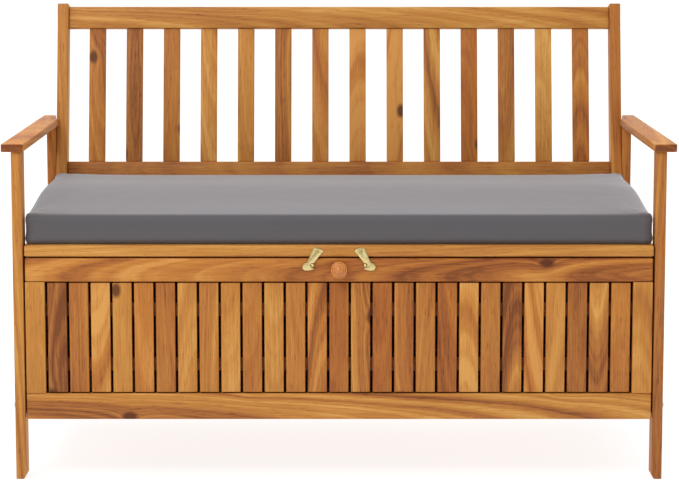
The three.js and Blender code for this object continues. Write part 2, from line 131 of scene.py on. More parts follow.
# %% [markdown]
# ## Floor and light
# The bench stands in a light tent: a white sky that is brightest overhead and darker on the side of
# the camera, where the tent is open. So the tops of the arms and the cushion are lighter than their
# fronts. The sky's strength is worked out from the direction alone. The floor is a sheet of white
# acrylic, lit a little from below, which keeps the shadow under the box soft. One broad lamp at the
# upper left adds the small highlight on the knob and the lighter upper edges.

# %% Floor and light
FLOOR_SIZE = 40
SKY_OVERHEAD = 1.62
SKY_OPEN_SIDE = 0.30
KEY_POWER = 60
KEY_SIZE = 1.6
KEY_PLACE = (-1.6, -2.6, 3.2)

bpy.ops.mesh.primitive_plane_add(size=FLOOR_SIZE)
floor = bpy.context.active_object
floor.name = "floor"
# Matt white acrylic: it hardly mirrors the bench, and its own light keeps the shadow pale.
acrylic = surface(new_material("white_acrylic_sheet"), {
    "Base Color": linear("#8C8C8C"), "Roughness": 0.9, "Specular IOR Level": 0.0,
    "Emission Color": linear("#FFFFFF"), "Emission Strength": 0.84,
})
floor.data.materials.append(acrylic)
print("floor", FLOOR_SIZE, "m wide")

# %% Sky and lamp
world = bpy.data.worlds.new("light_tent")
bpy.context.scene.world = world
world.use_nodes = True
sky = world.node_tree.nodes["Background"]
sky.inputs["Color"].default_value = (1, 1, 1, 1)
direction = add_node(world, "TexCoord").outputs["Generated"]
sideways, forwards, upwards = add_node(world, "SeparateXYZ", (direction,)).outputs
overhead = add_node(world, "MapRange", (upwards, 0.0, 1.0, 1.02, SKY_OVERHEAD))
open_side = add_node(world, "MapRange", (forwards, -0.9, 0.3, SKY_OPEN_SIDE, 1.0))
strength = add_node(world, "Math", (overhead, open_side), operation="MULTIPLY")
world.node_tree.links.new(strength.outputs[0], sky.inputs["Strength"])

bpy.ops.object.light_add(type="AREA", location=KEY_PLACE)
key = bpy.context.active_object
key.name = "key_light"
key.data.energy = KEY_POWER
key.data.size = KEY_SIZE
key.rotation_euler = (Vector((0, 0, 0.45)) - key.location).to_track_quat("-Z", "Y").to_euler()
bpy.context.scene.view_settings.view_transform = "Standard"
print("key light", KEY_POWER, "W,", KEY_SIZE, "m wide")

# %% [markdown]
# ## Oiled acacia
# Acacia is sawn across its growth rings, so a board shows long bands that close into arches, short
# pores, the odd knot, and a colour that runs from straw to red brown between boards. An image could
# only cover one board. Here the rings are computed round a pith that lies some centimetres away from
# each board, in the board's own coordinates, which each piece keeps in an attribute called "grain":
# metres along, across and through the board. A second attribute, "tone", holds how pale and how red
# that one board is. Rings are about 6 mm apart. The pores of real acacia are 0.2 mm wide, too fine
# to show, so the fibres are drawn about 2 mm apart.

# %% Knots
KNOT_CELL = 130 * MM
KNOT_SHARE = 0.42
KNOT_COLOUR = "#56270F"


def knots(material, grain):
    """Two fields round a few scattered points: a wide one that bends the rings, and the dark knot."""
    add = partial(add_node, material)
    place = add("VectorMath", (grain, (0.62 / KNOT_CELL, 1 / KNOT_CELL, 0)), operation="MULTIPLY")
    cells = add("TexVoronoi", {"Vector": place, "Scale": 1, "Randomness": 1}, voronoi_dimensions="2D")
    distance, colour = cells.outputs[:2]
    chosen = add("Math", (add("SeparateColor", (colour,)), KNOT_SHARE), operation="LESS_THAN")
    wide = add("Math", (2.718, add("Math", (distance, -9.0), operation="MULTIPLY")), operation="POWER")
    core = add("Math", (distance, -24.0, 2.0), operation="MULTIPLY_ADD", use_clamp=True)
    return [add("Math", (field, chosen), operation="MULTIPLY") for field in (wide, core)]


print("a knot in", KNOT_SHARE, "of the cells,", KNOT_CELL / MM, "mm apart")

# %% Growth rings
RING_SPACING = 6 * MM
HEART_SPACING = 30 * MM


def growth_rings(material, grain, bend):
    """Uneven noises read along the distance from a wandering pith.

    The narrow one is the single rings, the wide one the change from heartwood to pale sapwood."""
    add = partial(add_node, material)
    along, across, through = add("SeparateXYZ", (grain,)).outputs
    wander, wave = [
        add("TexNoise", {"Vector": add("VectorMath", (grain, sizes), operation="MULTIPLY"),
                         "Scale": 1, "Detail": detail})
        for sizes, detail in (((1.3, 5, 5), 1), ((7, 45, 45), 2))
    ]
    side = add("Math", (wander, 30 * MM, across), operation="MULTIPLY_ADD")
    side = add("Math", (wave, 2.4 * MM, side), operation="MULTIPLY_ADD")
    depth = add("Math", (along, 0.06, through), operation="MULTIPLY_ADD")
    depth_squared = add("Math", (depth, depth), operation="MULTIPLY")
    squares = add("Math", (side, side, depth_squared), operation="MULTIPLY_ADD")
    radius = add("Math", (bend, 12 * MM, add("Math", (squares,), operation="SQRT")), operation="MULTIPLY_ADD")
    return [
        add("TexNoise", {"W": add("Math", (radius, 1 / spacing), operation="MULTIPLY"),
                         "Scale": 1, "Detail": detail, "Roughness": rough}, noise_dimensions="1D")
        for spacing, detail, rough in ((RING_SPACING, 3, 0.6), (HEART_SPACING, 1, 0.5))
    ]


print("rings about", RING_SPACING / MM, "mm apart")

# %% Fibres and sawn ends
FIBRE_SPACING = 2.4 * MM
PORE_SPACING = 2.0 * MM  # real pores are 0.2 mm wide, so they are drawn coarser to show at all
PORE_LENGTH = 24 * MM
CLOUD_WIDTH = 38 * MM


def fibres_and_pores(material, grain):
    """Fine streaks along the board, short dark pores, and slow clouds of colour."""
    add = partial(add_node, material)
    fibres, pores, clouds = [
        add("TexNoise", {"Vector": add("VectorMath", (grain, sizes), operation="MULTIPLY"),
                         "Scale": 1, "Detail": detail, "Roughness": rough})
        for sizes, detail, rough in (
            ((12, 1 / FIBRE_SPACING, 1 / FIBRE_SPACING), 3, 0.65),
            ((1 / PORE_LENGTH, 1 / PORE_SPACING, 1 / PORE_SPACING), 2, 0.6),
            ((4, 1 / CLOUD_WIDTH, 1 / CLOUD_WIDTH), 2, 0.5),
        )
    ]
    return fibres, add("MapRange", (pores, 0.56, 0.70, 0.5, 1.5), interpolation_type="SMOOTHSTEP"), clouds


def sawn_ends(material, darker):
    """Sawn ends drink more oil: they are darker, and show where the surface faces along the board."""
    add = partial(add_node, material)
    normal = add("TexCoord").outputs["Normal"]
    axis = add("Attribute", attribute_name="board_axis").outputs["Vector"]
    facing = add("VectorMath", (normal, axis), operation="DOT_PRODUCT").outputs["Value"]
    facing = add("Math", (facing,), operation="ABSOLUTE")
    return add("MapRange", (facing, 0.6, 0.95, 0.0, darker), interpolation_type="SMOOTHSTEP")


print("fibres", FIBRE_SPACING / MM, "mm and pores", PORE_LENGTH / MM, "mm long")

# %% Oiled acacia
END_GRAIN = 0.62


def acacia(name, colours, red, gloss, bump_height, coat=0.0):
    """Sawn and oiled acacia, from its four colours, pale to dark."""
    material = new_material(name)
    add = partial(add_node, material)
    grain = add("Attribute", attribute_name="grain").outputs["Vector"]
    tone = add("Attribute", attribute_name="tone").outputs["Vector"]
    paleness, redness, figure = add("SeparateXYZ", (tone,)).outputs
    bend, knot = knots(material, grain)
    rings, heart = growth_rings(material, grain, bend)
    fibres, pores, clouds = fibres_and_pores(material, grain)

    # How far towards the dark colour: the board's own tone, its ends, rings, fibres, clouds and pores.
    shade = add("Math", (paleness, -0.72, 0.86), operation="MULTIPLY_ADD")
    shade = add("Math", (shade, sawn_ends(material, END_GRAIN)), operation="ADD")
    ring_strength = add("Math", (figure, 1.05, 0.30), operation="MULTIPLY_ADD")
    for part, strength in ((rings, ring_strength), (fibres, 0.68), (clouds, 0.48), (pores, 0.24)):
        centred = add("Math", (part, 0.5), operation="SUBTRACT")
        shade = add("Math", (centred, strength, shade), operation="MULTIPLY_ADD")
    edge = add("MapRange", (heart, 0.44, 0.56, -0.5, 0.5), interpolation_type="SMOOTHSTEP")
    heart_strength = add("Math", (figure, 0.32, 0.04), operation="MULTIPLY_ADD")
    shade = add("Math", (edge, heart_strength, shade), operation="MULTIPLY_ADD", use_clamp=True)

    ramp = add("ValToRGB", (shade,))
    ends = ramp.color_ramp.elements
    ends[0].color, ends[1].color = linear(colours[0]), linear(colours[3])
    ends.new(0.34).color, ends.new(0.66).color = linear(colours[1]), linear(colours[2])
    reddened = add("Mix", {0: redness, 6: ramp, 7: linear(red)}, data_type="RGBA", blend_type="MULTIPLY")
    reddened = reddened.outputs[2]
    knot_share = add("Math", (knot, 0.9), operation="MULTIPLY")
    knotted = add("Mix", {0: knot_share, 6: reddened, 7: linear(KNOT_COLOUR)}, data_type="RGBA")
    fibre_height = add("Math", (fibres, 0.7), operation="MULTIPLY")
    height = add("Math", (rings, 0.3, fibre_height), operation="MULTIPLY_ADD")
    return surface(material, {
        "Base Color": knotted.outputs[2],
        "Roughness": add("Math", (fibres, 0.22, gloss), operation="MULTIPLY_ADD"),
        "Normal": add("Bump", {"Height": height, "Strength": 0.5, "Distance": bump_height}),
        "IOR": 1.47,  # a thin oil film on wood
        "Specular IOR Level": 0.28,  # mostly soaked in, so little of it shines
        "Coat Weight": coat, "Coat Roughness": 0.12,
    })


# Oiled boards: silky and warm, with straw, golden and brown bands. The knob is also varnished, so it
# mirrors the lamp in small sharp lights.
oiled_acacia = acacia("oiled_acacia", ("#D9A357", "#C2843B", "#A86830", "#78431F"), "#F0C6A6", 0.44,
                      0.2 * MM)
turned_acacia = acacia("turned_acacia", ("#E69C48", "#CE8434", "#B06824", "#7E4618"), "#FFE4C0", 0.20,
                       0.08 * MM, coat=1.0)
print(len(oiled_acacia.node_tree.nodes), "nodes in oiled acacia")

# %% [markdown]
# ## How a board is made
# Every board starts as a cube at its own size and place. Its edges are then eased with a small
# bevel, as a router or sandpaper does, because a real board never has a sharp edge, and the eased
# edge is what catches the light. Last, each vertex learns where it is on the board, so that the
# rings run along it, and the board gets its own stretch of the tree and its own tone.

# %% How a board lies
# The turn that takes length, width and thickness from X, Y and Z.
RAIL = (math.radians(90), 0, 0)
UPRIGHT = (math.radians(90), math.radians(-90), 0)
SIDE_UPRIGHT = (0, math.radians(-90), 0)
SIDE_RAIL = (math.radians(90), 0, math.radians(90))
FLAT = (0, 0, 0)
FLAT_ACROSS = (0, 0, math.radians(90))


def turn(lay, tilt=0.0):
    """The rotation matrix of a lay, tilted about X."""
    x, y, z = lay
    flat = Matrix.Rotation(z, 3, "Z") @ Matrix.Rotation(y, 3, "Y") @ Matrix.Rotation(x, 3, "X")
    return Matrix.Rotation(tilt, 3, "X") @ flat


print("an upright board points its length to", [round(v) for v in turn(UPRIGHT) @ Vector((1, 0, 0))])

# %% Sawing and easing
EASE = 1.6 * MM


def only(piece):
    """Selects this piece alone and makes it active."""
    bpy.ops.object.select_all(action="DESELECT")
    piece.select_set(True)
    bpy.context.view_layer.objects.active = piece


def sawn(name, low, high, tilt=0.0):
    """A square-edged board that fills the space from low to high, tilted about X."""
    bpy.ops.object.select_all(action="DESELECT")
    low, high = Vector(low), Vector(high)
    bpy.ops.mesh.primitive_cube_add(size=1, location=(low + high) / 2, rotation=(tilt, 0, 0),
                                    scale=high - low)
    bpy.ops.object.transform_apply(location=True, rotation=True, scale=True)
    piece = bpy.context.active_object
    piece.name = piece.data.name = name
    return piece


def ease(piece, width=EASE, segments=2, sharper_than=30):
    """Rounds every edge of a piece that turns by more than sharper_than degrees."""
    only(piece)
    bpy.ops.object.mode_set(mode="EDIT")
    bpy.ops.mesh.select_mode(type="EDGE")
    bpy.ops.mesh.select_all(action="DESELECT")
    bpy.ops.mesh.edges_select_sharp(sharpness=math.radians(sharper_than))
    bpy.ops.mesh.bevel(offset=width, segments=segments, affect="EDGES", clamp_overlap=True)
    bpy.ops.object.mode_set(mode="OBJECT")
    bpy.ops.object.shade_smooth_by_angle(angle=math.radians(40))
    return piece


print("edges are eased by", EASE / MM, "mm")

# %% Copying
OTHER_SIDE = Matrix.Scale(-1, 4, (1, 0, 0))


def shift(x=0.0, y=0.0, z=0.0):
    """The matrix that moves a mesh."""
    return Matrix.Translation((x, y, z))


def copied(piece, name, move):
    """A copy with its own mesh, moved or mirrored by a matrix. A mirrored mesh is turned right side out."""
    copy = piece.copy()
    copy.data = piece.data.copy()
    copy.name = copy.data.name = name
    bpy.context.scene.collection.objects.link(copy)
    copy.data.transform(move)
    if move.determinant() < 0:
        copy.data.flip_normals()
    return copy


print("the other side is X times", OTHER_SIDE[0][0])

# %% Grain and tone
# How pale a board is, by letter: dark, brown, mid brown, nut, golden, yellow, straw, white. The dark
# "d" is painted shade: the battens behind the slats take it, so the gaps between the slats read as deep
# shadow. A capital letter stands for a strongly figured board.
PALENESS = {"d": -0.10, "b": 0.30, "m": 0.44, "n": 0.52, "g": 0.60, "y": 0.70, "s": 0.82, "w": 0.96}


def lay_grain(piece, lay, tone=None, tilt=0.0):
    """Stores the board's own coordinates, its axis and its tone on its vertices."""
    luck = random.Random(zlib.crc32(piece.name.encode()))
    rotation = turn(lay, tilt)
    places = places_of(piece)
    own = (places - (places.min(0) + places.max(0)) / 2) @ np.array(rotation)
    start = luck.uniform(-0.5, 0.5), luck.uniform(-30, 30) * MM, luck.uniform(12, 75) * MM
    own[:, 0] *= luck.choice((-1, 1))
    tone = tone or luck.choice("bmmMggyYs")
    pale = PALENESS[tone.lower()] + luck.uniform(-0.04, 0.04)
    red = luck.random() ** 2 * 0.5
    figure = luck.uniform(0.85, 1.0) if tone.isupper() else luck.uniform(0.05, 0.55)
    count = len(places)
    axis = rotation @ Vector((1, 0, 0))
    for name, values in (("grain", own + np.array(start)), ("board_axis", np.tile(axis, (count, 1))),
                         ("tone", np.tile((pale, red, figure), (count, 1)))):
        piece.data.attributes.new(name, "FLOAT_VECTOR", "POINT").data.foreach_set("vector", values.ravel())


def places_of(piece):
    """The vertices of a piece as an array of points."""
    flat = np.empty(len(piece.data.vertices) * 3)
    piece.data.vertices.foreach_get("co", flat)
    return flat.reshape(-1, 3)


print("tones", PALENESS)

# %% Finished boards
def fix(piece, body, nodes, material=oiled_acacia):
    """Gives a finished piece its material and body, and lets it stand for its solids."""
    piece.data.materials.clear()
    piece.data.materials.append(material)
    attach(piece, body)
    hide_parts(*([nodes] if isinstance(nodes, str) else nodes))
    return piece


def planed(node, width=EASE):
    """The plain board that fills one solid's box."""
    return ease(sawn(node + "_board", *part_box(node)), width, 3)


def oil(piece, node, lay, body="bench", tone=None, tilt=0.0):
    """Gives a board its grain, its oil and its body."""
    lay_grain(piece, lay, tone, tilt)
    return fix(piece, body, node)


def board(node, lay, body="bench", tone=None, width=EASE):
    """A straight board in place of one solid of the frame."""
    return oil(planed(node, width), node, lay, body, tone)


def board_pair(node, lay, body="bench", tone=None):
    """Two straight boards, on the left and on the right, from one."""
    left = planed(node + "_left")
    right = copied(left, node + "_right_board", OTHER_SIDE)
    for side, piece in (("left", left), ("right", right)):
        oil(piece, f"{node}_{side}", lay, body, tone)


print("boards are ready to be sawn, eased and oiled")

# %% [markdown]
# ## Legs
# A leg is one upright board whose foot is chamfered on the inner side, so that it doesn't splinter
# when the bench is dragged. The chamfer is cut with a bisect, which slices the whole mesh along a
# plane and closes it, before the edges are eased.

# %% Legs
FOOT_CHAMFER = (4 * MM, 7 * MM)
front_low, front_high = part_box("front_leg_left")
rear_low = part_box("rear_leg_left")[0]


def leg(name):
    """The front left leg, with a chamfer at the inner side of its foot."""
    piece = sawn(name, front_low, front_high)
    bpy.ops.object.mode_set(mode="EDIT")
    bpy.ops.mesh.bisect(plane_co=(front_high.x - FOOT_CHAMFER[0], 0, front_low.z),
                        plane_no=Vector((FOOT_CHAMFER[1], 0, -FOOT_CHAMFER[0])).normalized(),
                        use_fill=True, clear_outer=True)
    bpy.ops.object.mode_set(mode="OBJECT")
    return ease(piece)


to_rear = shift(y=rear_low.y - front_low.y)
front_left = leg("front_leg_left_board")
front_right = copied(front_left, "front_leg_right_board", OTHER_SIDE)
legs = {"front_leg_left": front_left, "front_leg_right": front_right}
for side in ("left", "right"):
    legs["rear_leg_" + side] = copied(legs["front_leg_" + side], f"rear_leg_{side}_board", to_rear)
for node, piece in legs.items():
    oil(piece, node, SIDE_UPRIGHT, tone="n" if "left" in node else "m")
print("leg", [round(v / MM, 1) for v in front_high - front_low], "mm")

# %% [markdown]
# ## Arms
# Each arm is a flat board with a notch at the rear inner corner, where the leaning post passes. The
# part in front of the notch is a cube. The narrower tail is drawn out of its rear face, after a
# bisect has split that face where the notch ends.

# %% Arms
NOTCH_START = 536.5 * MM
NOTCH_WIDTH = 15 * MM


def arm(node):
    """The left armrest with its notched tail."""
    low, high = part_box(node)
    split = high.x - NOTCH_WIDTH
    notch = low.y + NOTCH_START
    piece = sawn(node + "_board", low, (high.x, notch, high.z))
    bpy.ops.object.mode_set(mode="EDIT")
    bpy.ops.mesh.bisect(plane_co=(split, 0, 0), plane_no=(1, 0, 0))
    bpy.ops.object.mode_set(mode="OBJECT")
    for face in piece.data.polygons:
        face.select = face.normal.y > 0.9 and face.center.x < split
    bpy.ops.object.mode_set(mode="EDIT")
    bpy.ops.mesh.select_mode(type="FACE")
    bpy.ops.mesh.extrude_region_move(TRANSFORM_OT_translate={"value": (0, high.y - notch, 0)})
    bpy.ops.object.mode_set(mode="OBJECT")
    return ease(piece, 2.2 * MM, 3)


left_arm = arm("armrest_left")
right_arm = copied(left_arm, "armrest_right_board", OTHER_SIDE)
oil(left_arm, "armrest_left", FLAT_ACROSS, tone="g")
oil(right_arm, "armrest_right", FLAT_ACROSS, tone="g")

# %% [markdown]
# ## Rails and seat
# The rails and the seat boards are straight, so one helper makes them all and only the lay of the
# grain changes.

# %% Rails and bearers
board_pair("side_top_rail", SIDE_RAIL)
board_pair("side_bottom_rail", SIDE_RAIL)
board_pair("seat_bearer", SIDE_RAIL)
for rail in ("box_back_top_rail", "box_back_bottom_rail", "floor_front_rail"):
    board(rail, RAIL)
board("seat_front_board", FLAT, tone="y", width=3.8 * MM)
board("seat_rear_board", FLAT)
seat_board_low, seat_board_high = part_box("seat_front_board")
print("seat boards are", round((seat_board_high - seat_board_low).z / MM, 1), "mm thick")

# %% [markdown]
# ## Slatted panels
# The sides, the back and the door of the box are rows of narrow upright slats, screwed to two
# battens on the inside. In the frame each panel is one solid. Here every slat is its own board, with
# its own figure and tone, which is what makes the panel look like wood and not like a grooved sheet.
# The slats of the box's back stand almost edge to edge, so no daylight shows through the door.

# %% Slat helpers
SLAT_THICKNESS = 10 * MM
BATTEN_HEIGHT = 25 * MM
SLAT_GAP = 3.9 * MM
TIGHT_GAP = 0.02 * MM


def row(piece, name, count, pitch, axis=0):
    """The piece and its copies, numbered along an axis."""
    steps = [Vector([i * pitch if a == axis else 0 for a in range(3)]) for i in range(count)]
    copies = [copied(piece, f"{name}_{i:02d}", shift(*step)) for i, step in enumerate(steps[1:], 2)]
    return [piece, *copies]


def slats(node, axis, run, count, depth, gap, longer=0.0):
    """Equal upright slats along X (axis 0) or Y (axis 1), with a gap before, between and after them."""
    low, high = (Vector(corner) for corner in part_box(node))
    low.z, high.z = low.z - longer, high.z + longer
    width = (run[1] - run[0] - gap * (count + 1)) / count
    low[axis], high[axis] = run[0] + gap, run[0] + gap + width
    low[1 - axis], high[1 - axis] = depth
    return row(ease(sawn(node + "_01", low, high)), node, count, width + gap, axis)


def battens(node, axis, depth):
    """The two battens that a panel's slats are screwed to."""
    low, high = (Vector(corner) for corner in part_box(node))
    low[1 - axis], high[1 - axis] = depth
    quarter = (high.z - low.z) / 4
    low.z, high.z = low.z + quarter - BATTEN_HEIGHT / 2, low.z + quarter + BATTEN_HEIGHT / 2
    lower = ease(sawn(node + "_lower_batten", low, high))
    return [lower, copied(lower, node + "_upper_batten", shift(z=2 * quarter))]


def slatted_panel(node, body, axis, run, count, lay, gap=SLAT_GAP, tones=None, front_first=True, longer=0.0):
    """Slats and battens in place of one panel.

    front_first is True when the slats are on the low side of the panel's thickness."""
    low, high = (corner[1 - axis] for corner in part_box(node))
    split = low + SLAT_THICKNESS if front_first else high - SLAT_THICKNESS
    slat_depth, batten_depth = ((low, split), (split, high)) if front_first else ((split, high), (low, split))
    for piece, tone in zip(slats(node, axis, run, count, slat_depth, gap, longer), tones or [None] * count):
        oil(piece, node, lay, body, tone)
    for piece in battens(node, axis, batten_depth):
        # The battens take the dark tone "d": painted shade, so the gaps between the slats read as deep
        # shadow.
        oil(piece, node, RAIL if axis == 0 else SIDE_RAIL, body, "d")
    print(node, count, "slats")


# %% Box sides and back
BACK_SLATS_LONGER = 1.95 * MM  # at each end, up to the rails
side_run = (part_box("front_leg_left")[1].y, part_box("rear_leg_left")[0].y)
slatted_panel("side_slats_left", "bench", 1, side_run, 12, SIDE_UPRIGHT)
slatted_panel("side_slats_right", "bench", 1, side_run, 12, SIDE_UPRIGHT, front_first=False)
back_run = (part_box("box_back_top_rail")[0].x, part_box("box_back_top_rail")[1].x)
slatted_panel("box_back_slats", "bench", 0, back_run, 29, UPRIGHT, TIGHT_GAP, front_first=False,
              longer=BACK_SLATS_LONGER)

# %% [markdown]
# ## Floor and seat slats
# The floor of the box and the seat are loose mats of boards on battens. The seat's are 55 mm wide
# and run along the bench, the floor's run from front to back.

# %% Seat slats
SEAT_SLATS = 6
SEAT_SLAT_WIDTH = 55 * MM
SEAT_BATTEN_HALF = 20 * MM
seat_low, seat_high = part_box("seat_slats")
seat_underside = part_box("seat_front_board")[0].z
seat_pitch = (seat_high.y - seat_low.y - SEAT_SLAT_WIDTH) / (SEAT_SLATS - 1)
first_slat = sawn("seat_slat_01", (seat_low.x, seat_low.y, seat_underside),
                  (seat_high.x, seat_low.y + SEAT_SLAT_WIDTH, seat_high.z))
for piece in row(ease(first_slat), "seat_slat", SEAT_SLATS, seat_pitch, 1):
    oil(piece, "seat_slats", FLAT)
seat_batten = sawn("seat_batten", (-SEAT_BATTEN_HALF, seat_low.y, seat_low.z),
                   (SEAT_BATTEN_HALF, seat_high.y, seat_underside))
oil(ease(seat_batten), "seat_slats", FLAT_ACROSS)
print("seat slats every", round(seat_pitch / MM, 1), "mm")

# %% Floor boards
FLOOR_BOARDS = 17
CROSS_BATTEN_WIDTH = 28 * MM
FIRST_BATTEN_SHARE = 0.06  # of the floor's depth
BATTEN_STEP_SHARE = 0.44
floor_low, floor_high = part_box("floor_boards")
# The boards run out to the side panels, so no daylight shows at the ends of the floor.
floor_low.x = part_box("side_slats_left")[1].x + TIGHT_GAP
floor_high.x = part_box("side_slats_right")[0].x - TIGHT_GAP
floor_pitch = (floor_high.x - floor_low.x + TIGHT_GAP) / FLOOR_BOARDS
floor_split = floor_high.z - SLAT_THICKNESS
first_board = sawn("floor_board_01", (floor_low.x, floor_low.y, floor_split),
                   (floor_low.x + floor_pitch - TIGHT_GAP, floor_high.y, floor_high.z))
for piece in row(ease(first_board), "floor_board", FLOOR_BOARDS, floor_pitch):
    oil(piece, "floor_boards", FLAT_ACROSS)
floor_depth = floor_high.y - floor_low.y
batten_start = floor_low.y + FIRST_BATTEN_SHARE * floor_depth - CROSS_BATTEN_WIDTH / 2
first_batten = sawn("floor_batten_01", (floor_low.x, batten_start, floor_low.z),
                    (floor_high.x, batten_start + CROSS_BATTEN_WIDTH, floor_split))
for piece in row(ease(first_batten), "floor_batten", 3, BATTEN_STEP_SHARE * floor_depth, 1):
    oil(piece, "floor_boards", FLAT)
print("floor boards every", round(floor_pitch / MM, 1), "mm")

# %% [markdown]
# ## Leaning backrest
# The back leans by about twelve degrees. Its pieces are square boards turned about X, so each one's
# real size follows from the upright box that the frame gives for it and the angle. The posts' feet
# are sawn level, again with a bisect.

# %% Leaning backrest
LEAN = math.radians(11.7)
POST_WIDTH = 38 * MM


def leaning(node):
    """A rail or slat of the leaning back, from the upright box round it."""
    low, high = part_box(node)
    size = high - low
    sine, cosine = math.sin(LEAN), math.cos(LEAN)
    deep = (size.y * cosine - size.z * sine) / math.cos(2 * LEAN)
    length = (size.z * cosine - size.y * sine) / math.cos(2 * LEAN)
    middle, half = (low + high) / 2, Vector((size.x, deep, length)) / 2
    return ease(sawn(node + "_board", middle - half, middle + half, -LEAN), 2.0 * MM, 3)


print("the back leans by", round(math.degrees(LEAN), 1), "degrees")

# %% Posts
post_low, post_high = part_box("back_post_left")
leg_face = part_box("rear_leg_left")[1].x


def post(name):
    """The left post, screwed to the leg's inner face, with its foot sawn level."""
    rise, sine, cosine = post_high.z - post_low.z, math.sin(LEAN), math.cos(LEAN)
    spare = POST_WIDTH * math.tan(LEAN)  # the level cut takes this off again
    length = rise / cosine + spare
    along, backwards = Vector((0, sine, cosine)), Vector((0, cosine, -sine))
    outer = leg_face + 0.3 * MM
    foot = Vector(((outer + post_high.x) / 2, post_low.y, post_low.z))
    middle = foot + along * (length / 2 - spare) + backwards * (POST_WIDTH / 2)
    half = Vector((post_high.x - outer, POST_WIDTH, length)) / 2
    piece = sawn(name, middle - half, middle + half, -LEAN)
    bpy.ops.object.mode_set(mode="EDIT")
    bpy.ops.mesh.bisect(plane_co=(0, 0, post_low.z), plane_no=(0, 0, -1), use_fill=True, clear_outer=True)
    bpy.ops.object.mode_set(mode="OBJECT")
    return ease(piece, 2.0 * MM, 3)


left_post = post("back_post_left_board")
right_post = copied(left_post, "back_post_right_board", OTHER_SIDE)
oil(left_post, "back_post_left", SIDE_UPRIGHT, tone="g", tilt=-LEAN)
oil(right_post, "back_post_right", SIDE_UPRIGHT, tone="g", tilt=-LEAN)
print("post", round((post_high.z - post_low.z) / math.cos(LEAN) / MM), "mm long")

# %% Rails and slats of the back
BACK_TONES = "MMgYsmgSWMgmsY"
oil(leaning("back_top_rail"), "back_top_rail", RAIL, tone="y", tilt=-LEAN)
oil(leaning("back_bottom_rail"), "back_bottom_rail", RAIL, tone="m", tilt=-LEAN)
first_slat = leaning("back_slat_01")
places = [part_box(f"back_slat_{number:02d}")[0].x for number in range(1, len(BACK_TONES) + 1)]
back_slats = [first_slat] + [
    copied(first_slat, f"back_slat_{number:02d}_board", shift(x=x - places[0]))
    for number, x in enumerate(places[1:], 2)
]
for number, (piece, tone) in enumerate(zip(back_slats, BACK_TONES), 1):
    oil(piece, f"back_slat_{number:02d}", UPRIGHT, tone=tone, tilt=-LEAN)
print(len(BACK_TONES), "slats in the back")

# %% [markdown]
# ## Door
# The drop-front door is a frame of two long rails and two short stiles round 27 slats, all on the
# body that swings. The slats sit a little behind the frame, which draws the thin shadow line round
# the panel.

# %% Door
DOOR_GAP = 4.6 * MM
DOOR_TONES = "BmYyymggymsgBmGmmgbYgBYybMg"
board("door_top_rail", RAIL, "door", "M", 3.0 * MM)
board("door_bottom_rail", RAIL, "door", "M")
board_pair("door_stile", UPRIGHT, "door", "g")
door_run = (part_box("door_stile_left")[1].x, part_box("door_stile_right")[0].x)
slatted_panel("door_slats", "door", 0, door_run, 27, UPRIGHT, DOOR_GAP, DOOR_TONES)

# %% [markdown]
# ## Knob
# The knob is turned on a lathe: a slim neck that spreads into a round head whose face rises in three
# steps. A flat ring of 64 sides is drawn forwards from the door, one station at a time, and resized
# at each one, which is the lathe's profile walked by hand.

# %% Knob
KNOB_STATIONS = (  # radius and distance from the door, mm
    (7.6, 0.0), (7.6, 2.6), (6.4, 4.6), (6.1, 6.6), (7.0, 9.0), (9.6, 11.4), (13.2, 13.2), (15.2, 14.8),
    (15.8, 16.2), (15.6, 17.0), (14.4, 19.0), (14.0, 19.3), (12.6, 19.4), (12.2, 19.7), (11.0, 21.7),
    (10.6, 22.0), (9.2, 22.1), (8.8, 22.4), (7.6, 24.2), (7.2, 24.5), (5.8, 24.6), (5.2, 24.9), (4.0, 25.9),
    (2.6, 26.4), (1.3, 26.6), (0.3, 26.65),
)


def turned(name, stations, centre, sides=64):
    """A turned piece: a ring of vertices drawn forwards (towards -Y) through its stations."""
    bpy.ops.object.select_all(action="DESELECT")
    first = stations[0]
    bpy.ops.mesh.primitive_circle_add(vertices=sides, radius=first[0] * MM, fill_type="NGON",
                                      location=centre - Vector((0, first[1] * MM, 0)),
                                      rotation=(math.radians(90), 0, 0))
    piece = bpy.context.active_object
    piece.name = piece.data.name = name
    bpy.ops.object.transform_apply(location=True, rotation=True, scale=True)
    bpy.ops.object.mode_set(mode="EDIT")
    bpy.ops.mesh.select_mode(type="FACE")
    bpy.ops.mesh.select_all(action="SELECT")
    for (radius, place), (last_radius, last_place) in zip(stations[1:], stations):
        bpy.ops.mesh.extrude_region_move(TRANSFORM_OT_translate={"value": (0, (last_place - place) * MM, 0)})
        share = radius / last_radius
        bpy.ops.transform.resize(value=(share, 1, share),
                                 center_override=centre - Vector((0, place * MM, 0)))
    bpy.ops.mesh.select_all(action="SELECT")
    bpy.ops.mesh.normals_make_consistent(inside=False)
    bpy.ops.object.mode_set(mode="OBJECT")
    bpy.ops.object.shade_smooth_by_angle(angle=math.radians(50))
    return piece


knob_low, knob_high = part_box("knob")
knob_centre = Vector(((knob_low.x + knob_high.x) / 2, knob_high.y, (knob_low.z + knob_high.z) / 2))
knob = turned("turned_knob", KNOB_STATIONS, knob_centre)
lay_grain(knob, RAIL, "g")
fix(knob, "door", "knob", turned_acacia)
print("knob", len(knob.data.polygons), "faces")

# %% [markdown]
# ## Metal
# The hooks and pegs are pale stamped brass, the screws that the hooks turn on are a duller brass, and
# the hinges and bolts are zinc plated steel. All are true metals, so the colour sits in the base
# colour, metallic is 1 and the index of refraction stays as it is. A slow stain and fine scratches
# in the roughness show that they are cheap pressed fittings and not polished jewellery.

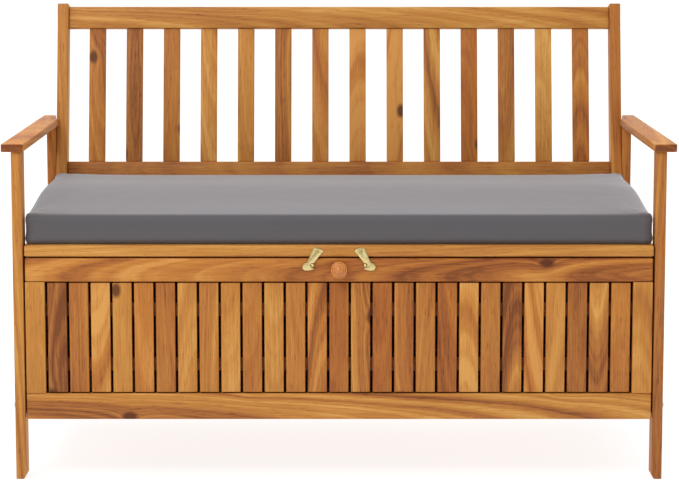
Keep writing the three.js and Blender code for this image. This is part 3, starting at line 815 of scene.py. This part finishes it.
# %% Metal
def plated(name, colour, stain, roughness, dent):
    """A pressed and plated metal with slow stains, fine scratches and shallow dents."""
    material = new_material(name)
    add = partial(add_node, material)
    place = add("TexCoord").outputs["Object"]
    stains, scratches, waves = [
        add("TexNoise", {"Vector": place, "Scale": 1 / size, "Detail": detail})
        for size, detail in ((7 * MM, 3), (0.5 * MM, 2), (4 * MM, 1))
    ]
    fine = add("Bump", {"Height": scratches, "Strength": 0.25, "Distance": 0.06 * MM})
    return surface(material, {
        "Base Color": add("Mix", {0: stains, 6: linear(colour), 7: linear(stain)},
                          data_type="RGBA").outputs[2],
        "Roughness": add("Math", (scratches, 0.22, roughness), operation="MULTIPLY_ADD"),
        "Normal": add("Bump", {"Height": waves, "Normal": fine, "Strength": 0.6, "Distance": dent}),
        "Metallic": 1.0,
    })


# Stamped brass is pale yellow and mirrors softly. Dull brass hardly mirrors. Zinc plate is grey.
stamped_brass = plated("stamped_brass", "#ECDDA6", "#C4AE6C", 0.20, 0.30 * MM)
dull_brass = plated("dull_brass", "#DCCB92", "#B7A368", 0.42, 0.08 * MM)
zinc_plate = plated("zinc_plated_steel", "#C4C4C0", "#A2A29C", 0.30, 0.06 * MM)
print("metals", stamped_brass.name, dull_brass.name, zinc_plate.name)

# %% [markdown]
# ## Hooks, pegs and hinges
# The frame already has the hook's true outline, so a copy of that solid is merged and its flat
# faces are cleaned, and then its edges are rolled over as the press leaves them. Pegs and screws are
# round-headed, and the screws get their cross recess. The hinge leaves only need soft edges.

# %% Hooks and hinges
def pressed(node, width, segments=2):
    """A softened copy of a metal solid of the frame."""
    piece = copied(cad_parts[node], node + "_metal", Matrix.Identity(4))
    piece.hide_render = piece.hide_viewport = False
    only(piece)
    bpy.ops.object.mode_set(mode="EDIT")
    bpy.ops.mesh.select_mode(type="VERT")
    bpy.ops.mesh.select_all(action="SELECT")
    bpy.ops.mesh.remove_doubles(threshold=0.005 * MM)
    bpy.ops.mesh.dissolve_limited(angle_limit=math.radians(2))
    bpy.ops.object.mode_set(mode="OBJECT")
    return ease(piece, width, segments, 40)


def metal_pair(node, left, bodies, material):
    """A left fitting and its mirrored copy, each on its own body."""
    right = copied(left, f"{node}_right_metal", OTHER_SIDE)
    for side, piece, body in zip(("left", "right"), (left, right), bodies):
        fix(piece, body, f"{node}_{side}", material)
    print(node, len(left.data.polygons), "faces each")


hook = pressed("hook_left", 0.4 * MM, 3)
metal_pair("hook", hook, ("left_hook", "right_hook"), stamped_brass)
for fitting, body, rounding in (("hinge_frame_leaf", "bench", 0.25), ("hinge_door_leaf", "door", 0.25),
                                ("leg_bolt", "bench", 0.1)):
    softened = pressed(fitting + "_left", rounding * MM)
    metal_pair(fitting, softened, (body, body), zinc_plate)

# %% Screws and pegs
RECESS_DEPTH = 1.4 * MM
RECESS_WIDTH = 1.3 * MM
RECESS_LENGTH = 5.6 * MM
SCREW_SCALE = 1.04  # the head stands a little wider than the plain solid


def round_head(node, scale=1.0):
    """A round-headed screw or peg: shank and domed head."""
    low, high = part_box(node)
    centre = Vector(((low.x + high.x) / 2, high.y, (low.z + high.z) / 2))
    radius, head = scale * (high.x - low.x) / 2 / MM, (high.y - low.y) / MM - 2
    shank = radius * 0.5
    stations = ((shank, 0), (shank, head), (radius * 0.96, head), (radius, head + 0.25),
                (radius * 0.93, head + 0.9), (radius * 0.75, head + 1.5), (radius * 0.45, head + 1.85),
                (radius * 0.12, head + 2.0))
    return turned(node + "_metal", stations, centre, 32)


def cut_recess(piece, centre, length):
    """Cuts a cross into the head, one slot at a time."""
    for turn_by in (45, 135):
        bpy.ops.mesh.primitive_cube_add(size=1, location=centre, rotation=(0, math.radians(turn_by), 0),
                                        scale=(length, 2 * RECESS_DEPTH, RECESS_WIDTH))
        bpy.ops.object.transform_apply(location=True, rotation=True, scale=True)
        blade = bpy.context.active_object
        only(piece)
        cut = piece.modifiers.new("recess", "BOOLEAN")
        cut.object, cut.operation, cut.solver = blade, "DIFFERENCE", "EXACT"
        bpy.ops.object.modifier_apply(modifier=cut.name)
        bpy.data.objects.remove(blade)
    bpy.ops.object.shade_smooth_by_angle(angle=math.radians(40))
    return piece


screw_low, screw_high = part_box("hook_screw_left")
screw_face = Vector(((screw_low.x + screw_high.x) / 2, screw_low.y, (screw_low.z + screw_high.z) / 2))
screw = cut_recess(round_head("hook_screw_left", SCREW_SCALE), screw_face, RECESS_LENGTH)
metal_pair("hook_screw", screw, ("bench", "bench"), dull_brass)
metal_pair("peg", round_head("peg_left"), ("door", "door"), stamped_brass)

# %% [markdown]
# ## Cushion
# A foam slab in a sewn cover: a top and a bottom panel joined by a boxing strip. The slab is
# remeshed evenly and then blown up a little with cloth pressure, as stuffing does. The two seams
# and the bottom are held, because a seam hardly stretches and the bottom lies flat on the seat, so
# the top swells between the seams and the front keeps its straight edge. A smooth limit holds each
# point near its place, which gives the even loft of foam instead of the dome of a balloon.

# %% Cushion slab
CORNER_RADIUS = 11 * MM
TOP_RADIUS = 10 * MM
BOTTOM_RADIUS = 5 * MM
FOAM_CLEARANCE = 0.3 * MM  # over the seat
FOAM_SPARE = 2 * MM  # room for the stuffing to swell
cushion_low, cushion_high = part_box("cushion")


def round_edges(piece, chosen, radius, segments):
    """Rounds the edges whose two ends pass a test."""
    for edge in piece.data.edges:
        edge.select = chosen(*(piece.data.vertices[i].co for i in edge.vertices))
    bpy.ops.object.mode_set(mode="EDIT")
    bpy.ops.mesh.select_mode(type="EDGE")
    bpy.ops.mesh.bevel(offset=radius, segments=segments, affect="EDGES")
    bpy.ops.object.mode_set(mode="OBJECT")


def slab():
    """The foam slab: a box with rounded corners and edges."""
    low = cushion_low + Vector((0, 0, FOAM_CLEARANCE))
    high = cushion_high - Vector((0, 0, FOAM_SPARE))
    piece = sawn("seat_cushion", low, high)
    round_edges(piece, lambda a, b: abs(a.z - b.z) > 10 * MM, CORNER_RADIUS, 6)
    round_edges(piece, lambda a, b: min(a.z, b.z) > high.z - 1 * MM, TOP_RADIUS, 5)
    round_edges(piece, lambda a, b: max(a.z, b.z) < low.z + 1 * MM, BOTTOM_RADIUS, 3)
    return piece


cushion = slab()
print("foam", [round(v / MM) for v in cushion_high - cushion_low], "mm")

# %% Cushion mesh and seams
VOXEL = 6.5 * MM
HELD_BOTTOM = 6 * MM  # the band of points that the seat holds
HELD_TOP = 12 * MM  # the upper seam's band, below the top
HELD_SIDE = 8 * MM


def even_mesh(piece):
    """Remeshes the slab evenly and groups the points that the seams and the seat hold."""
    only(piece)
    remesh = piece.modifiers.new("even_mesh", "REMESH")
    remesh.mode, remesh.voxel_size = "VOXEL", VOXEL
    bpy.ops.object.modifier_apply(modifier=remesh.name)
    points = places_of(piece)
    low, high = points.min(0), points.max(0)
    to_side = np.minimum(points[:, :2] - low[:2], high[:2] - points[:, :2]).min(1)
    upper_seam = (points[:, 2] > high[2] - HELD_TOP) & (to_side < HELD_SIDE)
    held = (points[:, 2] < low[2] + HELD_BOTTOM) | upper_seam
    piece.vertex_groups.new(name="seams").add([int(i) for i in np.nonzero(held)[0]], 1.0, "REPLACE")
    return points


before = even_mesh(cushion)
print("cushion", len(before), "points")

# %% Cushion stuffing
SIM_FRAMES = 14


def inflate(piece):
    """Blows the cover up with cloth pressure and applies the result."""
    cloth = piece.modifiers.new("cover", "CLOTH")
    settings = cloth.settings
    settings.quality, settings.mass = 5, 0.3
    settings.tension_stiffness = settings.compression_stiffness = 15
    settings.shear_stiffness, settings.bending_stiffness = 8, 1.5
    settings.vertex_group_mass = "seams"
    settings.use_pressure, settings.uniform_pressure_force = True, 3
    settings.effector_weights.gravity = 0
    cloth.collision_settings.use_collision = False
    for step in range(1, SIM_FRAMES + 1):
        bpy.context.scene.frame_set(step)
    bpy.ops.object.modifier_apply(modifier=cloth.name)
    bpy.context.scene.frame_set(1)


inflate(cushion)
cushion.vertex_groups.clear()
moved = places_of(cushion) - before
print("cushion points moved by up to", round(float(np.abs(moved).max()) / MM, 1), "mm")

# %% Cushion limits
LOFT = 7 * MM
BULGE = 0.8 * MM
FRONT_SINK = 0.28
FRONT_REACH = 280 * MM
SIDE_SPARE = 5.4 * MM


def settle(piece, before, moved):
    """Holds each point near its place and sinks the front edge, where legs have pressed the foam."""
    limit = np.array([BULGE, BULGE, LOFT])
    after = before + limit * np.tanh(moved / limit)
    front = np.clip((after[:, 1] - cushion_low.y) / FRONT_REACH, 0, 1)
    share = 1 - FRONT_SINK * (1 - front * front * (3 - 2 * front))
    after[:, 2] = cushion_low.z + np.maximum((after[:, 2] - cushion_low.z) * share, 0.2 * MM)
    middle = np.array((cushion_low + cushion_high)[:2]) / 2
    full = np.array((cushion_high - cushion_low)[:2]) / 2 + np.array((SIDE_SPARE, -0.2 * MM))
    after[:, :2] = middle + (after[:, :2] - middle) * (full / np.abs(after[:, :2] - middle).max(0))
    piece.data.vertices.foreach_set("co", after.ravel())
    piece.data.update()
    smooth = piece.modifiers.new("smooth", "SMOOTH")
    smooth.factor, smooth.iterations = 0.5, 2
    only(piece)
    bpy.ops.object.modifier_apply(modifier=smooth.name)
    bpy.ops.object.shade_smooth()


settle(cushion, before, moved)
print("cushion top at", round(places_of(cushion)[:, 2].max() / MM, 1), "mm")

# %% [markdown]
# ## Cushion cover
# The cover is a plain woven polyester: matt, grey, with a pale sheen where it is seen along the
# cloth, because the thread ends stand up and catch the light. Real threads are half a millimetre
# apart, too fine to show, so the weave is drawn at 1.6 mm, and slow dents show that foam lies under
# the cloth.

# %% Weave and seams
THREAD = 1.6 * MM
SEAM_HEIGHTS = (6 * MM, 50 * MM)


def weave_height(material, place):
    """Threads crossing over and under each other."""
    add = partial(add_node, material)
    x, y, z = add("SeparateXYZ", (place,)).outputs
    up_and_back = add("Math", (y, z), operation="ADD")
    waves = [add("Math", (add("Math", (way, 2 * math.pi / THREAD), operation="MULTIPLY"),), operation="SINE")
             for way in (x, up_and_back)]
    return add("Math", waves, operation="MULTIPLY"), z


def seam_lines(material, z):
    """1 on the two sewn lines that run round the boxing strip, 0 elsewhere."""
    add = partial(add_node, material)
    lines = []
    for height in SEAM_HEIGHTS:
        off = add("Math", (z, cushion_low.z + height), operation="SUBTRACT")
        off = add("Math", (off,), operation="ABSOLUTE")
        lines.append(add("MapRange", (off, 0.3 * MM, 1.6 * MM, 1.0, 0.0), interpolation_type="SMOOTHSTEP"))
    return add("Math", lines, operation="ADD")


print("threads every", THREAD / MM, "mm")

# %% Cushion cover
def woven_polyester():
    """Grey plain-woven polyester with sheen and a thread bump."""
    material = new_material("woven_polyester")
    add = partial(add_node, material)
    place = add("TexCoord").outputs["Object"]
    weave, z = weave_height(material, place)
    seam = seam_lines(material, z)
    dents, fuzz = [add("TexNoise", {"Vector": place, "Scale": 1 / size, "Detail": detail})
                   for size, detail in ((110 * MM, 2), (2.5 * MM, 3))]
    height = add("Math", (weave, 0.25), operation="MULTIPLY")
    height = add("Math", (fuzz, 0.6, height), operation="MULTIPLY_ADD")
    height = add("Math", (seam, -1.2, height), operation="MULTIPLY_ADD")
    fine = add("Bump", {"Height": height, "Strength": 0.35, "Distance": 0.25 * MM})
    shade = add("Math", (fuzz, 0.5, 0.25), operation="MULTIPLY_ADD")
    # The colour is darkened along the seams too: painted shade in the sewn groove, on top of the groove that
    # the bump draws.
    shade = add("Math", (seam, -0.4, shade), operation="MULTIPLY_ADD")
    colour = add("Mix", {0: shade, 6: linear("#565355"), 7: linear("#615E62")}, data_type="RGBA")
    return surface(material, {
        "Base Color": colour.outputs[2],
        "Normal": add("Bump", {"Height": dents, "Normal": fine, "Strength": 0.25, "Distance": 6 * MM}),
        "Roughness": 0.92, "Sheen Weight": 0.9, "Sheen Roughness": 0.45, "Sheen Tint": linear("#DEDCE0"),
        "Specular IOR Level": 0.25,
    })


cover = woven_polyester()
fix(cushion, "cushion", "cushion", cover)
print("cover", len(cover.node_tree.nodes), "nodes")
